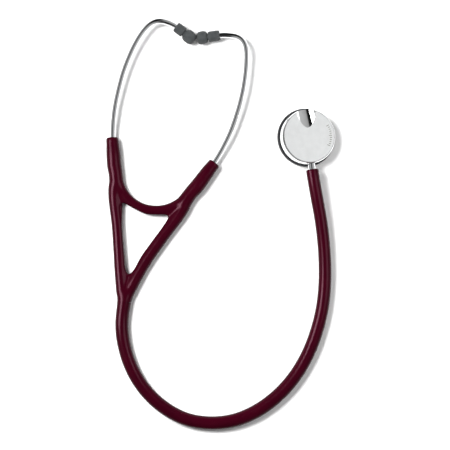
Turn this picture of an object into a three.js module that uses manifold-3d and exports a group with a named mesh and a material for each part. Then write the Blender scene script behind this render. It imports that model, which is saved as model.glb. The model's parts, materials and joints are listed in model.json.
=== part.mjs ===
// A single-sided stethoscope, lying on a table with its chestpiece face up.
// Millimetres, +Z up from the table, +Y from the chestpiece loop towards the ear tips.
// The origin is on the table, under the middle of the headset and chestpiece together.
import * as THREE from "three";
import { mergeVertices } from "three/addons/utils/BufferGeometryUtils.js";
import Module from "manifold-3d";

const wasm = await Module();
wasm.setup();

// ---------------------------------------------------------------- driving dimensions
const GAP = 0.35; // clearance between two pieces that touch
const REST_HEIGHT = 5.5; // centre height of the tubing that lies on the table
const TUBE_RADIUS = 5.4;
const LUMEN_RADIUS = 1.6; // the two sound channels in the yoke and the main tube
const LUMEN_OFFSET = 2.3; // each channel's distance from the tube's middle

const EAR_TUBE_RADIUS = 2.4;
const EAR_TUBE_WALL = 0.7;
const EAR_TUBE_INSERT = 9; // distance from the hinge to the ear tube's lower end

const LEFT_HINGE = [-90.2, -25, 5.9];
const RIGHT_HINGE = [-30, -32, 5.6];
const LEFT_SLEEVE_TOP = [-93.6, 20.6, 7.0];
const RIGHT_SLEEVE_TOP = [-5.4, -1.1, 6.8];
const LEFT_LIMB_RADIUS = 4.95;
const RIGHT_LIMB_RADIUS = 5.25;
const BRIDGE_HALF = { thick: 4.05, high: 4.5 };
const BOSS_RADIUS = 6.1;
const BOSS_HEIGHT = 10.6;
const SLEEVE_POCKET_RADIUS = 4.3;
const SLEEVE_POCKET_END = 22; // distance from the hinge to where the pocket narrows
const SPRING_THICK = 0.8;
const SPRING_HIGH = 5;
const CLIP = { inner: EAR_TUBE_RADIUS + GAP, outer: 3.9, start: 10, end: 19.5, slit: 1.4 };

const TIP_LENGTH = 19.8;
const TIP_BORE_RADIUS = 3.7;
const TIP_BORE_DEPTH = 8.4;
const TIP_CHANNEL_RADIUS = 1.5;
const TIP_CORE = { inner: EAR_TUBE_RADIUS + GAP, outer: 3.35, start: 0.6, end: 8 };
const TUBE_END_IN_TIP = 7.6;
const LEFT_TIP = { start: [-38.8, 115.4, 9.4], end: [-23.7, 103.9, 7.4] };
const RIGHT_TIP = { start: [-1.1, 108.2, 7.9], end: [-20.7, 105.8, 6.1] };

const CHEST_BASE = [72.75, 19.8, 5]; // centre of the patient side
const CHEST_NORMAL = [0.195, 0.052, 0.979];
const STEM_HEADING = [0.135, -0.991, 0];
const CHEST = { faceRadius: 23, wallRadius: 24.8, height: 13.5, bevel: 0.7 };
const RIM = { radius: 25.2, height: 3.9, lip: 0.6, lipInner: 22.6 };
const DIAPHRAGM = { radius: 21.4, bottom: 0.2, top: 0.8 };
const STEM_HEIGHT = 7.5; // above the patient side
const STEM = { start: 16, shoulder: 23.6, tubeEnd: 29, end: 41, radius: 2.4, wide: 3.15 };
const SCOOP = { radius: 10.5, slope: 0.25, apex: 8.1 };

const ROUND = 16; // sides of a small round piece
const CHEST_ROUND = 44; // sides of the chestpiece
const LIMB_STEPS = 12;
const LUMEN_STEPS = 16;
const BRIDGE_STEPS = 12;
const EAR_TUBE_STEPS = 34;
const MAIN_TUBE_STEPS = 34;

// ---------------------------------------------------------------- materials
const plastic = (color, roughness) => new THREE.MeshStandardMaterial({ color, roughness });
const metal = (color, roughness) =>
  new THREE.MeshStandardMaterial({ color, roughness, metalness: 1 });
const MATERIALS = {
  pvc: plastic(0x430a1a, 0.28),
  chrome: metal(0xd8dadc, 0.12),
  satinSteel: metal(0xc9cbca, 0.38),
  springSteel: metal(0x8c8f92, 0.3),
  softTip: plastic(0x4d5252, 0.6),
  hardTip: plastic(0x2b2d2e, 0.45),
  rim: plastic(0x232526, 0.4),
  diaphragm: plastic(0xd9d5c4, 0.35),
  rubber: plastic(0x1b1b1c, 0.7),
};

// ---------------------------------------------------------------- shape helpers
const vector = (point) => new THREE.Vector3(...point);

function solidOf(geometry) {
  const bare = geometry.clone();
  bare.deleteAttribute("normal");
  bare.deleteAttribute("uv");
  const merged = mergeVertices(bare, 1e-4);
  const vertProperties = merged.attributes.position.array;
  const triVerts = new Uint32Array(merged.index.array);
  return new wasm.Manifold(new wasm.Mesh({ numProp: 3, vertProperties, triVerts }));
}

function geometryOf(solid) {
  const { vertProperties, triVerts } = solid.getMesh();
  const geometry = new THREE.BufferGeometry();
  geometry.setAttribute("position", new THREE.BufferAttribute(vertProperties, 3));
  geometry.setIndex(new THREE.BufferAttribute(triVerts, 1));
  return geometry;
}

const join = (...solids) => solids.reduce((all, solid) => all.add(solid));
const cut = (solid, ...tools) => tools.reduce((left, tool) => left.subtract(tool), solid);

// Points of an ellipse, which lies with its first half-axis upright once it is swept flat.
function ellipse(high, wide, sides, shiftWide = 0) {
  return Array.from({ length: sides }, (_, i) => {
    const angle = (2 * Math.PI * i) / sides;
    return new THREE.Vector2(high * Math.cos(angle), shiftWide + wide * Math.sin(angle));
  });
}

function curveThrough(points) {
  return new THREE.CatmullRomCurve3(points.map(vector), false, "centripetal");
}

// Sweeps an outline, with any holes, along a curve.
function sweep(outline, curve, steps, holes = []) {
  const shape = new THREE.Shape(outline);
  shape.holes = holes.map((hole) => new THREE.Path(hole));
  return new THREE.ExtrudeGeometry(shape, { steps, extrudePath: curve, bevelEnabled: false });
}

function rod(points, radius, steps, sides = ROUND) {
  return solidOf(sweep(ellipse(radius, radius, sides), curveThrough(points), steps));
}

// Turns a profile of [radius, height] pairs about +Z. It runs anticlockwise: the outside upwards.
function turned(profile, sides = ROUND) {
  const points = profile.map(([radius, height]) => new THREE.Vector2(radius, height));
  return new THREE.LatheGeometry(points, sides).rotateX(Math.PI / 2);
}

function ring(inner, outer, low, high, sides = ROUND) {
  return turned([[inner, low], [outer, low], [outer, high], [inner, high], [inner, low]], sides);
}

function disc(radius, low, high, sides = ROUND) {
  return turned([[0, low], [radius, low], [radius, high], [0, high]], sides);
}

function block([x, y, z], [width, depth, height]) {
  return solidOf(new THREE.BoxGeometry(width, depth, height).translate(x, y, z));
}

// The matrix that takes +Z to the line from one point to another, with its origin at the first.
function alongLine(from, to) {
  const heading = vector(to).sub(vector(from)).normalize();
  const turn = new THREE.Quaternion().setFromUnitVectors(new THREE.Vector3(0, 0, 1), heading);
  return new THREE.Matrix4().compose(vector(from), turn, new THREE.Vector3(1, 1, 1));
}

function pointOnLine(from, to, distance) {
  const heading = vector(to).sub(vector(from)).normalize();
  return vector(from).addScaledVector(heading, distance).toArray();
}

function named(name, geometry, material, matrix = new THREE.Matrix4()) {
  const mesh = new THREE.Mesh(geometry, material);
  mesh.name = name;
  mesh.applyMatrix4(matrix);
  return mesh;
}

// ---------------------------------------------------------------- yoke and its leaf spring
const LEG_END = [-83.9, -122.1, REST_HEIGHT];
const LEG_FOOT = [-83.9, -124.4, REST_HEIGHT]; // the limbs run on to here, and are cut at LEG_END
const LEFT_LIMB = [
  LEG_FOOT, [-84.6, -117, 5.5], [-86, -104, 5.4], [-87.4, -88, 5.3], [-88.6, -70, 5.3],
  [-90.1, -50, 5.4], LEFT_HINGE,
];
const RIGHT_LIMB = [
  LEG_FOOT, [-82, -117.5, 5.5], [-75.6, -104, 5.4], [-62.4, -82.2, 5.4], [-47.5, -61.4, 5.4],
  [-37.5, -47, 5.5], RIGHT_HINGE,
];
const BRIDGE = [
  LEFT_HINGE, [-82.2, -31.2, 5.5], [-75.1, -36.9, 5.5], [-65.3, -41.7, 5.5],
  [-55.8, -42.8, 5.5], [-47, -41.8, 5.5], [-38.1, -38, 5.5], RIGHT_HINGE,
];

function boss(hinge, radius = BOSS_RADIUS, height = BOSS_HEIGHT) {
  const [x, y, z] = hinge;
  return solidOf(disc(radius, -height / 2, height / 2, 24).translate(x, y, z));
}

function yokeSolid() {
  const { high, thick } = BRIDGE_HALF;
  const outside = join(
    rod(LEFT_LIMB, LEFT_LIMB_RADIUS, LIMB_STEPS),
    rod(RIGHT_LIMB, RIGHT_LIMB_RADIUS, LIMB_STEPS),
    solidOf(sweep(ellipse(high, thick, ROUND), curveThrough(BRIDGE), BRIDGE_STEPS)),
    boss(LEFT_HINGE),
    boss(RIGHT_HINGE),
  );
  const [endX, endY] = LEG_END;
  const below = endY - 2;
  const exitPast = BOSS_RADIUS + 3;
  const leftLumen = [
    [endX - LUMEN_OFFSET, below, REST_HEIGHT], [endX - LUMEN_OFFSET, endY + 2, REST_HEIGHT],
    ...LEFT_LIMB.slice(2), pointOnLine(LEFT_HINGE, LEFT_SLEEVE_TOP, exitPast),
  ];
  const rightLumen = [
    [endX + LUMEN_OFFSET, below, REST_HEIGHT], [endX + LUMEN_OFFSET, endY + 2, REST_HEIGHT],
    ...RIGHT_LIMB.slice(2), pointOnLine(RIGHT_HINGE, RIGHT_SLEEVE_TOP, exitPast),
  ];
  const slotOutline = bandOutline(SPRING_HIGH + 2 * GAP, SPRING_THICK + 2 * GAP);
  const foot = block([endX, endY - 10, REST_HEIGHT], [40, 20, 40]);
  return cut(
    outside,
    foot,
    rod(leftLumen, LUMEN_RADIUS, LUMEN_STEPS, 6),
    rod(rightLumen, LUMEN_RADIUS, LUMEN_STEPS, 6),
    solidOf(sweep(slotOutline, curveThrough(BRIDGE), BRIDGE_STEPS)),
  );
}

function bandOutline(high, thick) {
  const up = high / 2;
  const side = thick / 2;
  const corners = [[-up, -side], [up, -side], [up, side], [-up, side]];
  return corners.map(([x, y]) => new THREE.Vector2(x, y));
}

// The spring lies in the slot, and stops one step short of both ends of it.
function bridgeSpring() {
  const middle = curveThrough(BRIDGE).getSpacedPoints(BRIDGE_STEPS).slice(1, -1);
  const curve = new THREE.CatmullRomCurve3(middle);
  return sweep(bandOutline(SPRING_HIGH, SPRING_THICK), curve, BRIDGE_STEPS - 2);
}

// ---------------------------------------------------------------- arms
// Outside of a sleeve as [radius, distance below its top], from the hinge end up.
function sleeveProfile(length) {
  const widest = length > 40 ? 6.1 : 5.9;
  return [
    [widest - 0.4, 3], [widest - 0.1, 12], [widest, 19], [widest - 0.3, length - 14],
    [widest - 0.9, length - 5], [widest - 1.3, length - 1.6], [widest - 2.4, length],
  ];
}

function sleeveSolid(hinge, top) {
  const length = vector(top).distanceTo(vector(hinge));
  const mouth = EAR_TUBE_RADIUS + 2 * GAP;
  const inside = [
    [mouth, length], [mouth - GAP / 2, length - 7], [mouth - GAP / 2, SLEEVE_POCKET_END],
    [SLEEVE_POCKET_RADIUS, SLEEVE_POCKET_END], [SLEEVE_POCKET_RADIUS, 3],
  ];
  const outside = sleeveProfile(length);
  const profile = [...outside, ...inside, outside[0]];
  const sleeve = solidOf(turned(profile).applyMatrix4(alongLine(hinge, top)));
  return cut(sleeve, boss(hinge, BOSS_RADIUS + GAP, 2 * BOSS_HEIGHT));
}

function earTube(hinge, top, bends, tip) {
  const inSleeve = [EAR_TUBE_INSERT, 20, 32].map((far) => pointOnLine(hinge, top, far));
  const tipEnd = [-4, 0, TUBE_END_IN_TIP].map((far) => pointOnLine(tip.start, tip.end, far));
  const curve = curveThrough([...inSleeve, top, ...bends, ...tipEnd]);
  const inner = EAR_TUBE_RADIUS - EAR_TUBE_WALL;
  const hole = ellipse(inner, inner, 6);
  return sweep(ellipse(EAR_TUBE_RADIUS, EAR_TUBE_RADIUS, 10), curve, EAR_TUBE_STEPS, [hole]);
}

// A rolled band with a slit, and the tongue that the leaf spring's end is fixed to.
function springClip(hinge, top) {
  const tongueStart = BOSS_RADIUS + 1.5;
  const tongueLength = CLIP.start - tongueStart + 1;
  const tongueMiddle = [(CLIP.inner + CLIP.outer) / 2, 0, tongueStart + tongueLength / 2];
  const band = solidOf(ring(CLIP.inner, CLIP.outer, CLIP.start, CLIP.end));
  const slit = block([-CLIP.outer, 0, (CLIP.start + CLIP.end) / 2], [CLIP.outer, CLIP.slit, 20]);
  const tongue = block(tongueMiddle, [SPRING_THICK, 3, tongueLength]);
  return geometryOf(join(cut(band, slit), tongue)).applyMatrix4(alongLine(hinge, top));
}

const LEFT_BENDS = [
  [-93.3, 27.5, 7.7], [-91.7, 43.7, 9], [-88.2, 60.8, 9.8], [-83.4, 77.9, 10.4],
  [-76.4, 95, 10.9], [-71.9, 103.6, 11.2], [-66.1, 112.1, 11.4], [-60.5, 117.6, 11.5],
  [-53.7, 120, 11.4], [-47, 119.2, 10.7],
];
const RIGHT_BENDS = [
  [-2.2, 4.6, 7.3], [2.7, 13.4, 8], [8.8, 26.4, 8.9], [14.6, 43.6, 9.8], [18.9, 60.7, 10.5],
  [21.3, 77.8, 11], [21.8, 86.4, 11.2], [21.7, 94.9, 11.3], [20.5, 100.1, 11.3],
  [17.6, 104.6, 11], [12.9, 107.5, 10.4], [7.6, 108.7, 9.4],
];

// ---------------------------------------------------------------- ear tips
// Outside of a soft tip as [radius, distance from its open end]: collar, groove and bulb.
const TIP_PROFILE = [
  [4.1, 0], [4.5, 0.5], [4.5, 8.4], [4.1, 8.7], [4.1, 9.5], [4.9, 10.1], [5.6, 12],
  [5.7, 14.6], [5.3, 17.3], [4.3, 18.9], [3, TIP_LENGTH],
];

function softTip(tip) {
  const inside = [
    [TIP_CHANNEL_RADIUS, TIP_LENGTH], [TIP_CHANNEL_RADIUS, TIP_BORE_DEPTH],
    [TIP_BORE_RADIUS, TIP_BORE_DEPTH], [TIP_BORE_RADIUS, 0],
  ];
  const profile = [...TIP_PROFILE, ...inside, TIP_PROFILE[0]];
  return turned(profile, 20).applyMatrix4(alongLine(tip.start, tip.end));
}

function tipCore(tip) {
  const core = ring(TIP_CORE.inner, TIP_CORE.outer, TIP_CORE.start, TIP_CORE.end);
  return core.applyMatrix4(alongLine(tip.start, tip.end));
}

// ---------------------------------------------------------------- chestpiece
// Its own frame: +Z out of the metal face, -Y along the stem, origin at the patient side.
function chestFrame() {
  const up = vector(CHEST_NORMAL).normalize();
  const stem = vector(STEM_HEADING).addScaledVector(up, -vector(STEM_HEADING).dot(up)).normalize();
  const back = stem.clone().negate();
  const side = new THREE.Vector3().crossVectors(back, up);
  return new THREE.Matrix4().makeBasis(side, back, up).setPosition(...CHEST_BASE);
}

// A solid turned about the stem's axis: heights in the profile are distances from the middle.
function aboutStem(profile) {
  return turned(profile).rotateX(Math.PI / 2).translate(0, 0, STEM_HEIGHT);
}

function chestBody() {
  const { faceRadius, wallRadius, height, bevel } = CHEST;
  const skirt = RIM.radius - 1.4;
  const outside = [
    [0, 5], [4, 5], [22.6, 2.5], [22.6, 1.9], [skirt, 1.9], [skirt, RIM.height + GAP],
    [wallRadius, RIM.height + GAP], [wallRadius - 0.4, 6], [faceRadius + 0.3, 11],
    [faceRadius, height - bevel], [faceRadius - bevel, height], [0, height],
  ];
  const rise = Math.hypot(1, SCOOP.slope);
  const scoop = solidOf(
    disc(SCOOP.radius, -5, 40, 40)
      .rotateX(-Math.PI / 2 - Math.atan(SCOOP.slope))
      .translate(0, SCOOP.apex, height + SCOOP.radius * rise),
  );
  const socket = solidOf(aboutStem([
    [0, -1], [LUMEN_RADIUS, -1], [LUMEN_RADIUS, STEM.start - GAP],
    [STEM.radius + GAP, STEM.start - GAP], [STEM.radius + GAP, 18.6], [3.3, 18.6], [3.3, 20.8],
    [STEM.radius + GAP, 20.8], [STEM.radius + GAP, STEM.shoulder - GAP],
    [STEM.wide + GAP, STEM.shoulder - GAP], [STEM.wide + GAP, 27], [0, 27],
  ]));
  const port = solidOf(disc(LUMEN_RADIUS, 3, STEM_HEIGHT));
  return geometryOf(cut(solidOf(turned(outside, CHEST_ROUND)), scoop, socket, port));
}

function stem() {
  const { start, shoulder, tubeEnd, end, radius, wide } = STEM;
  const barbs = [31, 34, 37].flatMap((far) => [[2.55, far], [2.9, far + 0.4], [2.55, far + 2]]);
  return aboutStem([
    [1.5, start], [radius, start], [radius, 18.9], [2, 18.9], [2, 20.5], [radius, 20.5],
    [radius, shoulder], [wide, shoulder], [wide, tubeEnd + 0.6], [2.55, tubeEnd + 0.9], ...barbs,
    [2.4, end], [1.5, end], [1.5, start],
  ]);
}

function stemSeal() {
  const section = Array.from({ length: 9 }, (_, i) => {
    const angle = (Math.PI / 4) * i;
    return [2.6 + 0.38 * Math.cos(angle), 19.7 + 0.55 * Math.sin(angle)];
  });
  return aboutStem(section);
}

function diaphragmRim() {
  const inner = RIM.radius - 1.4 + GAP;
  return turned([
    [RIM.lipInner, 0], [RIM.radius - 0.6, 0], [RIM.radius, 0.8], [RIM.radius, 3.1],
    [RIM.radius - 0.4, RIM.height], [inner, RIM.height], [inner, RIM.lip], [RIM.lipInner, RIM.lip],
    [RIM.lipInner, 0],
  ], CHEST_ROUND);
}

function diaphragmSurround() {
  const inner = DIAPHRAGM.radius + GAP;
  return turned([
    [inner, 0.3], [22.25, 0.3], [22.25, 0.95], [23.8, 0.95], [23.8, 1.55], [inner, 1.55],
    [inner, 0.3],
  ], CHEST_ROUND);
}

function chestpiece() {
  const { radius, bottom, top } = DIAPHRAGM;
  const pieces = new THREE.Group();
  pieces.add(
    named("chestpiece_body", chestBody(), MATERIALS.satinSteel),
    named("stem", stem(), MATERIALS.chrome),
    named("stem_seal", stemSeal(), MATERIALS.rubber),
    named("diaphragm_rim", diaphragmRim(), MATERIALS.rim),
    named("diaphragm_surround", diaphragmSurround(), MATERIALS.rubber),
    named("diaphragm", disc(radius, bottom, top, CHEST_ROUND), MATERIALS.diaphragm),
  );
  pieces.applyMatrix4(chestFrame());
  return pieces;
}

// ---------------------------------------------------------------- main tube
// Its route on the table, from the yoke's leg round to the chestpiece's stem.
const ROUTE = [
  [-85, -130, 5.5], [-85.9, -142, 5.5], [-84.5, -156, 5.5], [-80.2, -172.2, 5.5],
  [-72.4, -188.6, 5.5], [-61.4, -202.9, 5.5], [-46.7, -214.9, 5.5], [-29.7, -223.1, 5.5],
  [-9.5, -226.3, 5.5], [10.6, -224.2, 5.5], [30.2, -216.4, 5.5], [47.8, -203.9, 5.5],
  [62.8, -187.5, 5.5], [74.3, -168.4, 5.5], [82, -149, 5.5], [87.4, -127.5, 5.5],
  [89.7, -106, 5.5], [89.3, -80, 6.4], [86.2, -52.5, 9], [82, -29.5, 12.1],
];

function chestPoint(distance) {
  return new THREE.Vector3(0, -distance, STEM_HEIGHT).applyMatrix4(chestFrame()).toArray();
}

function mainTube() {
  const [endX, endY, endZ] = LEG_END;
  const start = [endX, endY - GAP, endZ];
  const straightOut = [endX, endY - 2.5, endZ];
  const route = [start, straightOut, ...ROUTE, chestPoint(STEM.end + 3), chestPoint(STEM.tubeEnd)];
  const hole = LUMEN_RADIUS;
  const lumens = [-LUMEN_OFFSET, LUMEN_OFFSET].map((shift) => ellipse(hole, hole, 6, shift));
  const outline = ellipse(TUBE_RADIUS, TUBE_RADIUS, 12);
  const tube = solidOf(sweep(outline, curveThrough(route), MAIN_TUBE_STEPS, lumens));
  const socket = aboutStem([[0, 20], [3.35, 20], [3.35, STEM.end + 1], [0, STEM.end + 1]]);
  return geometryOf(cut(tube, solidOf(socket.applyMatrix4(chestFrame()))));
}

// ---------------------------------------------------------------- assembly
const SIDES = [
  { side: "left", hinge: LEFT_HINGE, top: LEFT_SLEEVE_TOP, bends: LEFT_BENDS, tip: LEFT_TIP },
  { side: "right", hinge: RIGHT_HINGE, top: RIGHT_SLEEVE_TOP, bends: RIGHT_BENDS, tip: RIGHT_TIP },
];

const stethoscope = new THREE.Group();
stethoscope.add(
  named("yoke", geometryOf(yokeSolid()), MATERIALS.pvc),
  named("bridge_spring", bridgeSpring(), MATERIALS.springSteel),
  named("main_tube", mainTube(), MATERIALS.pvc),
);
for (const { side, hinge, top, bends, tip } of SIDES) {
  stethoscope.add(
    named(`${side}_sleeve`, geometryOf(sleeveSolid(hinge, top)), MATERIALS.pvc),
    named(`${side}_spring_clip`, springClip(hinge, top), MATERIALS.springSteel),
    named(`${side}_ear_tube`, earTube(hinge, top, bends, tip), MATERIALS.chrome),
    named(`${side}_tip_core`, tipCore(tip), MATERIALS.hardTip),
    named(`${side}_ear_tip`, softTip(tip), MATERIALS.softTip),
  );
}
stethoscope.add(chestpiece());

export default stethoscope;
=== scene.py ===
"""A burgundy single-sided stethoscope on a white table, seen from straight above.

Lengths in this script are millimetres, and become metres as each mesh is made.
"""
import json
import math

import bmesh
import bpy
import numpy as np
from mathutils import Matrix, Vector


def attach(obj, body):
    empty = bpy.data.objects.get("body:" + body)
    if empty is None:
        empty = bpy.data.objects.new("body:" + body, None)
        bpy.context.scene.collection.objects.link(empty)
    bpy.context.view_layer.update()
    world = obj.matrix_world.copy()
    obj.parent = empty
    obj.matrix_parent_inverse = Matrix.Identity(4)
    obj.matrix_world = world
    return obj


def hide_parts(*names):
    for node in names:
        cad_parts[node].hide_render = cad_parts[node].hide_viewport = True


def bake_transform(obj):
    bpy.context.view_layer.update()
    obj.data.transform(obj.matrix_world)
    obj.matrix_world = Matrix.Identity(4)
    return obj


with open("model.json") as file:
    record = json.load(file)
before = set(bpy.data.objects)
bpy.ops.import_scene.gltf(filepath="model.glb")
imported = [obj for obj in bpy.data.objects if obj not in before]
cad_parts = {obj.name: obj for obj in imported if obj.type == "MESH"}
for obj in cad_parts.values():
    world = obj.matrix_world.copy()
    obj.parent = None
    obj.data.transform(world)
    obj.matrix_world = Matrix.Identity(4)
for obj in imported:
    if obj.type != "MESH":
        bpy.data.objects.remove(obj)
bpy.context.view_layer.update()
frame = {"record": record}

MM = 0.001
JOINTS = {joint["name"]: joint for joint in frame["record"]["behaviour"]["joints"]}


def joint_point(name):
    return np.array(JOINTS[name]["pos_m"]) / MM


def joint_axis(name):
    axis = np.array(JOINTS[name]["axis"], float)
    return axis / np.linalg.norm(axis)


# ------------------------------------------------------------------ driving dimensions
LEFT_HINGE = joint_point("left_spread")
RIGHT_HINGE = joint_point("right_spread")

TUBE_END_RADIUS = 5.45
TUBE_END_ROUNDING = 1.2
TUBE_MOUTH_RADIUS = 3.2
TUBE_MOUTH_DEPTH = 5.0
TUBE_OVER_STEM = 0.8  # how far the soft end creeps onto the stem's collar
TUBE_MOUTH_BEVEL = (0.2, 0.3)  # across and along the tube
TUBE_STEP = 1.5  # between the tube's rings
LOWEST = 0.05  # the tubing's lowest height: it is a little flat where it rests on the table

EAR_TUBE_RADIUS = 2.4
EAR_TUBE_EDGE = 0.3  # the bevel at an ear tube's ends
EAR_TUBE_STEP = 1.2  # between an ear tube's rings
EAR_TUBE_CLEAR = 0.5  # what they leave free at its end, for the bevel
EAR_TUBE_LEAD = (-1.5, 1.0)  # it runs straight here, either side of its tip's open end
TUBE_END_IN_TIP = 7.6  # how far an ear tube reaches into its tip

STEM_HEIGHT = 7.5  # the stem's axis above the patient side
CHEST_HEIGHT = 13.5
RIM_RADIUS = 25.2
TUBE_END = 29.0  # from the chestpiece's middle to the tube's end
SCOOP_RADIUS = 12.6  # of the cylinder that cuts the finger groove
SCOOP_SLOPE = 0.26  # how far the groove falls for each millimetre towards the edge
SCOOP_APEX = 7.3  # from the chestpiece's middle to the groove's pointed end
CREASE = 32  # degrees; a sharper edge than this is not shaded smooth
FACE_CREASE = 9  # degrees; the same on the chestpiece, whose wall has shallow corners

TABLE_SIZE = 2000.0
CAMERA_HEIGHT = 900.0
CAMERA_POINT = (3.45, -55.4)
FIELD_WIDTH = 391.5  # what the camera sees of the table
SENSOR = 36.0


# ------------------------------------------------------------------ paths
def catmull_rom(points, spacing=0.8):
    """Points about `spacing` apart on a centripetal Catmull-Rom curve."""
    points = np.array(points, float)
    points = np.vstack([2 * points[0] - points[1], points, 2 * points[-1] - points[-2]])
    out = []
    for p0, p1, p2, p3 in zip(points, points[1:], points[2:], points[3:]):
        knots = np.cumsum([0.0] + [np.linalg.norm(b - a) ** 0.5
                                   for a, b in ((p0, p1), (p1, p2), (p2, p3))])
        t0, t1, t2, t3 = knots
        count = max(2, int(np.linalg.norm(p2 - p1) / spacing))
        t = np.linspace(t1, t2, count, endpoint=False)[:, None]
        a1 = (t1 - t) / (t1 - t0) * p0 + (t - t0) / (t1 - t0) * p1
        a2 = (t2 - t) / (t2 - t1) * p1 + (t - t1) / (t2 - t1) * p2
        a3 = (t3 - t) / (t3 - t2) * p2 + (t - t2) / (t3 - t2) * p3
        b1 = (t2 - t) / (t2 - t0) * a1 + (t - t0) / (t2 - t0) * a2
        b2 = (t3 - t) / (t3 - t1) * a2 + (t - t1) / (t3 - t1) * a3
        out.append((t2 - t) / (t2 - t1) * b1 + (t - t1) / (t2 - t1) * b2)
    return np.vstack(out + [points[-2:-1]])


def arc_lengths(path):
    return np.concatenate([[0], np.cumsum(np.linalg.norm(np.diff(path, axis=0), axis=1))])


def even_path(path, spacing):
    far = arc_lengths(path)
    wanted = np.linspace(0, far[-1], max(2, int(far[-1] / spacing)) + 1)
    return np.stack([np.interp(wanted, far, path[:, k]) for k in range(3)], axis=1)


def smooth_path(points, spacing=1.0, rounds=0):
    """An even path through the points, its bends eased and its ends kept."""
    path = even_path(catmull_rom(points), spacing)
    for _ in range(rounds):
        path[1:-1] += 0.25 * (path[:-2] + path[2:] - 2 * path[1:-1])
    return even_path(path, spacing)


def frames_along(path):
    """A tangent and two normals at each point, turning as little as they can."""
    tangents = np.gradient(path, axis=0)
    tangents /= np.linalg.norm(tangents, axis=1)[:, None]
    side = np.cross(tangents[0], (0, 0, 1))
    side /= np.linalg.norm(side)
    sides = []
    for tangent in tangents:
        side = side - tangent * (side @ tangent)
        side = side / np.linalg.norm(side)
        sides.append(side)
    sides = np.array(sides)
    return tangents, sides, np.cross(sides, tangents)


# ------------------------------------------------------------------ mesh making
def new_piece(name, points, faces, matrix=None):
    """A mesh object from points in millimetres. `matrix` places it, in metres."""
    mesh = bpy.data.meshes.new(name)
    mesh.from_pydata([tuple(p) for p in np.asarray(points, float) * MM], [], faces)
    mesh.validate()
    piece = bpy.data.objects.new(name, mesh)
    bpy.context.scene.collection.objects.link(piece)
    if matrix is not None:
        piece.matrix_world = matrix
    face_out(piece)
    return piece


def face_out(piece):
    """Turns the faces outwards, and shades the piece smooth but for its creases."""
    work = bmesh.new()
    work.from_mesh(piece.data)
    bmesh.ops.recalc_face_normals(work, faces=work.faces)
    work.to_mesh(piece.data)
    work.free()
    shade_smooth(piece)


def shade_smooth(piece, crease_degrees=CREASE):
    piece.data.polygons.foreach_set("use_smooth", [True] * len(piece.data.polygons))
    piece.data.set_sharp_from_angle(angle=math.radians(crease_degrees))


def grid_faces(rows, columns, first=0):
    """Quads between `rows` rings of `columns` points each."""
    faces = []
    for row in range(rows - 1):
        for column in range(columns):
            after = (column + 1) % columns
            a = first + row * columns
            faces.append((a + column, a + after, a + columns + after, a + columns + column))
    return faces


def closed_rings(name, rings, poles, matrix=None):
    """A closed mesh from rings of points, with a pole beyond the first and the last."""
    count, columns = len(rings), len(rings[0])
    points = np.vstack(list(rings) + [np.array(poles)])
    faces = grid_faces(count, columns)
    start, end = count * columns, count * columns + 1
    last = (count - 1) * columns
    for column in range(columns):
        after = (column + 1) % columns
        faces.append((start, after, column))
        faces.append((end, last + column, last + after))
    return new_piece(name, points, faces, matrix)


def swept(name, path, stations, sides):
    """A round piece along a path. A station is a (distance along the path, radius) pair,
    and the distances may turn back, as where a tube's mouth folds into its bore."""
    far = arc_lengths(path)
    _, side, up = frames_along(path)
    angles = np.linspace(0, 2 * math.pi, sides, endpoint=False)
    rings = []
    poles = []
    for index, (distance, radius) in enumerate(stations):
        at = np.array([np.interp(distance, far, path[:, k]) for k in range(3)])
        nearest = min(len(path) - 1, int(round(np.interp(distance, far, range(len(path))))))
        u, v = side[nearest], up[nearest]
        rings.append(at + radius * (np.cos(angles)[:, None] * u + np.sin(angles)[:, None] * v))
        if index in (0, len(stations) - 1):
            poles.append(at)
    return closed_rings(name, rings, poles)


def turned(name, profile, sides, matrix=None):
    """A profile of (radius, height) pairs turned about +Z. It starts and ends on the axis,
    or else closes on itself."""
    angles = np.linspace(0, 2 * math.pi, sides, endpoint=False)
    circle = np.stack([np.cos(angles), np.sin(angles), np.zeros(sides)], axis=1)

    def circle_at(radius, height):
        return circle * radius + (0, 0, height)

    if profile[0][0] == 0:
        rings = [circle_at(*pair) for pair in profile[1:-1]]
        poles = [(0, 0, profile[0][1]), (0, 0, profile[-1][1])]
        return closed_rings(name, rings, poles, matrix)
    rings = [circle_at(*pair) for pair in profile]
    faces = grid_faces(len(rings), sides)
    last = (len(rings) - 1) * sides
    for column in range(sides):
        after = (column + 1) % sides
        faces.append((last + column, last + after, after, column))
    return new_piece(name, np.vstack(rings), faces, matrix)


MOST_OF_SIDE = 0.45  # the most of a side that one corner's rounding takes


def rounded(corners, segments=4, closed=False):
    """A profile with its corners rounded. A corner is (radius, height, rounding)."""
    out = []
    count = len(corners)
    for index, (radius, height, rounding) in enumerate(corners):
        here = np.array((radius, height), float)
        at_end = not closed and index in (0, count - 1)
        if at_end or rounding == 0:
            out.append(tuple(here))
            continue
        before = np.array(corners[index - 1][:2], float) - here
        after = np.array(corners[(index + 1) % count][:2], float) - here
        shorter = min(np.linalg.norm(before), np.linalg.norm(after))
        reach = min(rounding, MOST_OF_SIDE * shorter)
        start = here + before / np.linalg.norm(before) * reach
        end = here + after / np.linalg.norm(after) * reach
        for t in np.linspace(0, 1, segments + 1):
            out.append(tuple((1 - t) ** 2 * start + 2 * t * (1 - t) * here + t * t * end))
    return out


def along_axis(start, axis):
    """The matrix that takes +Z to an axis, with its origin at a start point."""
    turn = Vector((0, 0, 1)).rotation_difference(Vector(axis)).to_matrix().to_4x4()
    return Matrix.Translation(Vector(start) * MM) @ turn


# ------------------------------------------------------------------ camera, table and light
# The pieces that each selective light falls on.
LIT_BY_GLOSS = bpy.data.collections.new("lit_by_gloss")
LIT_BY_PANEL = bpy.data.collections.new("lit_by_panel")
LIT_BY_OVERHEAD = bpy.data.collections.new("lit_by_overhead")


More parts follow.
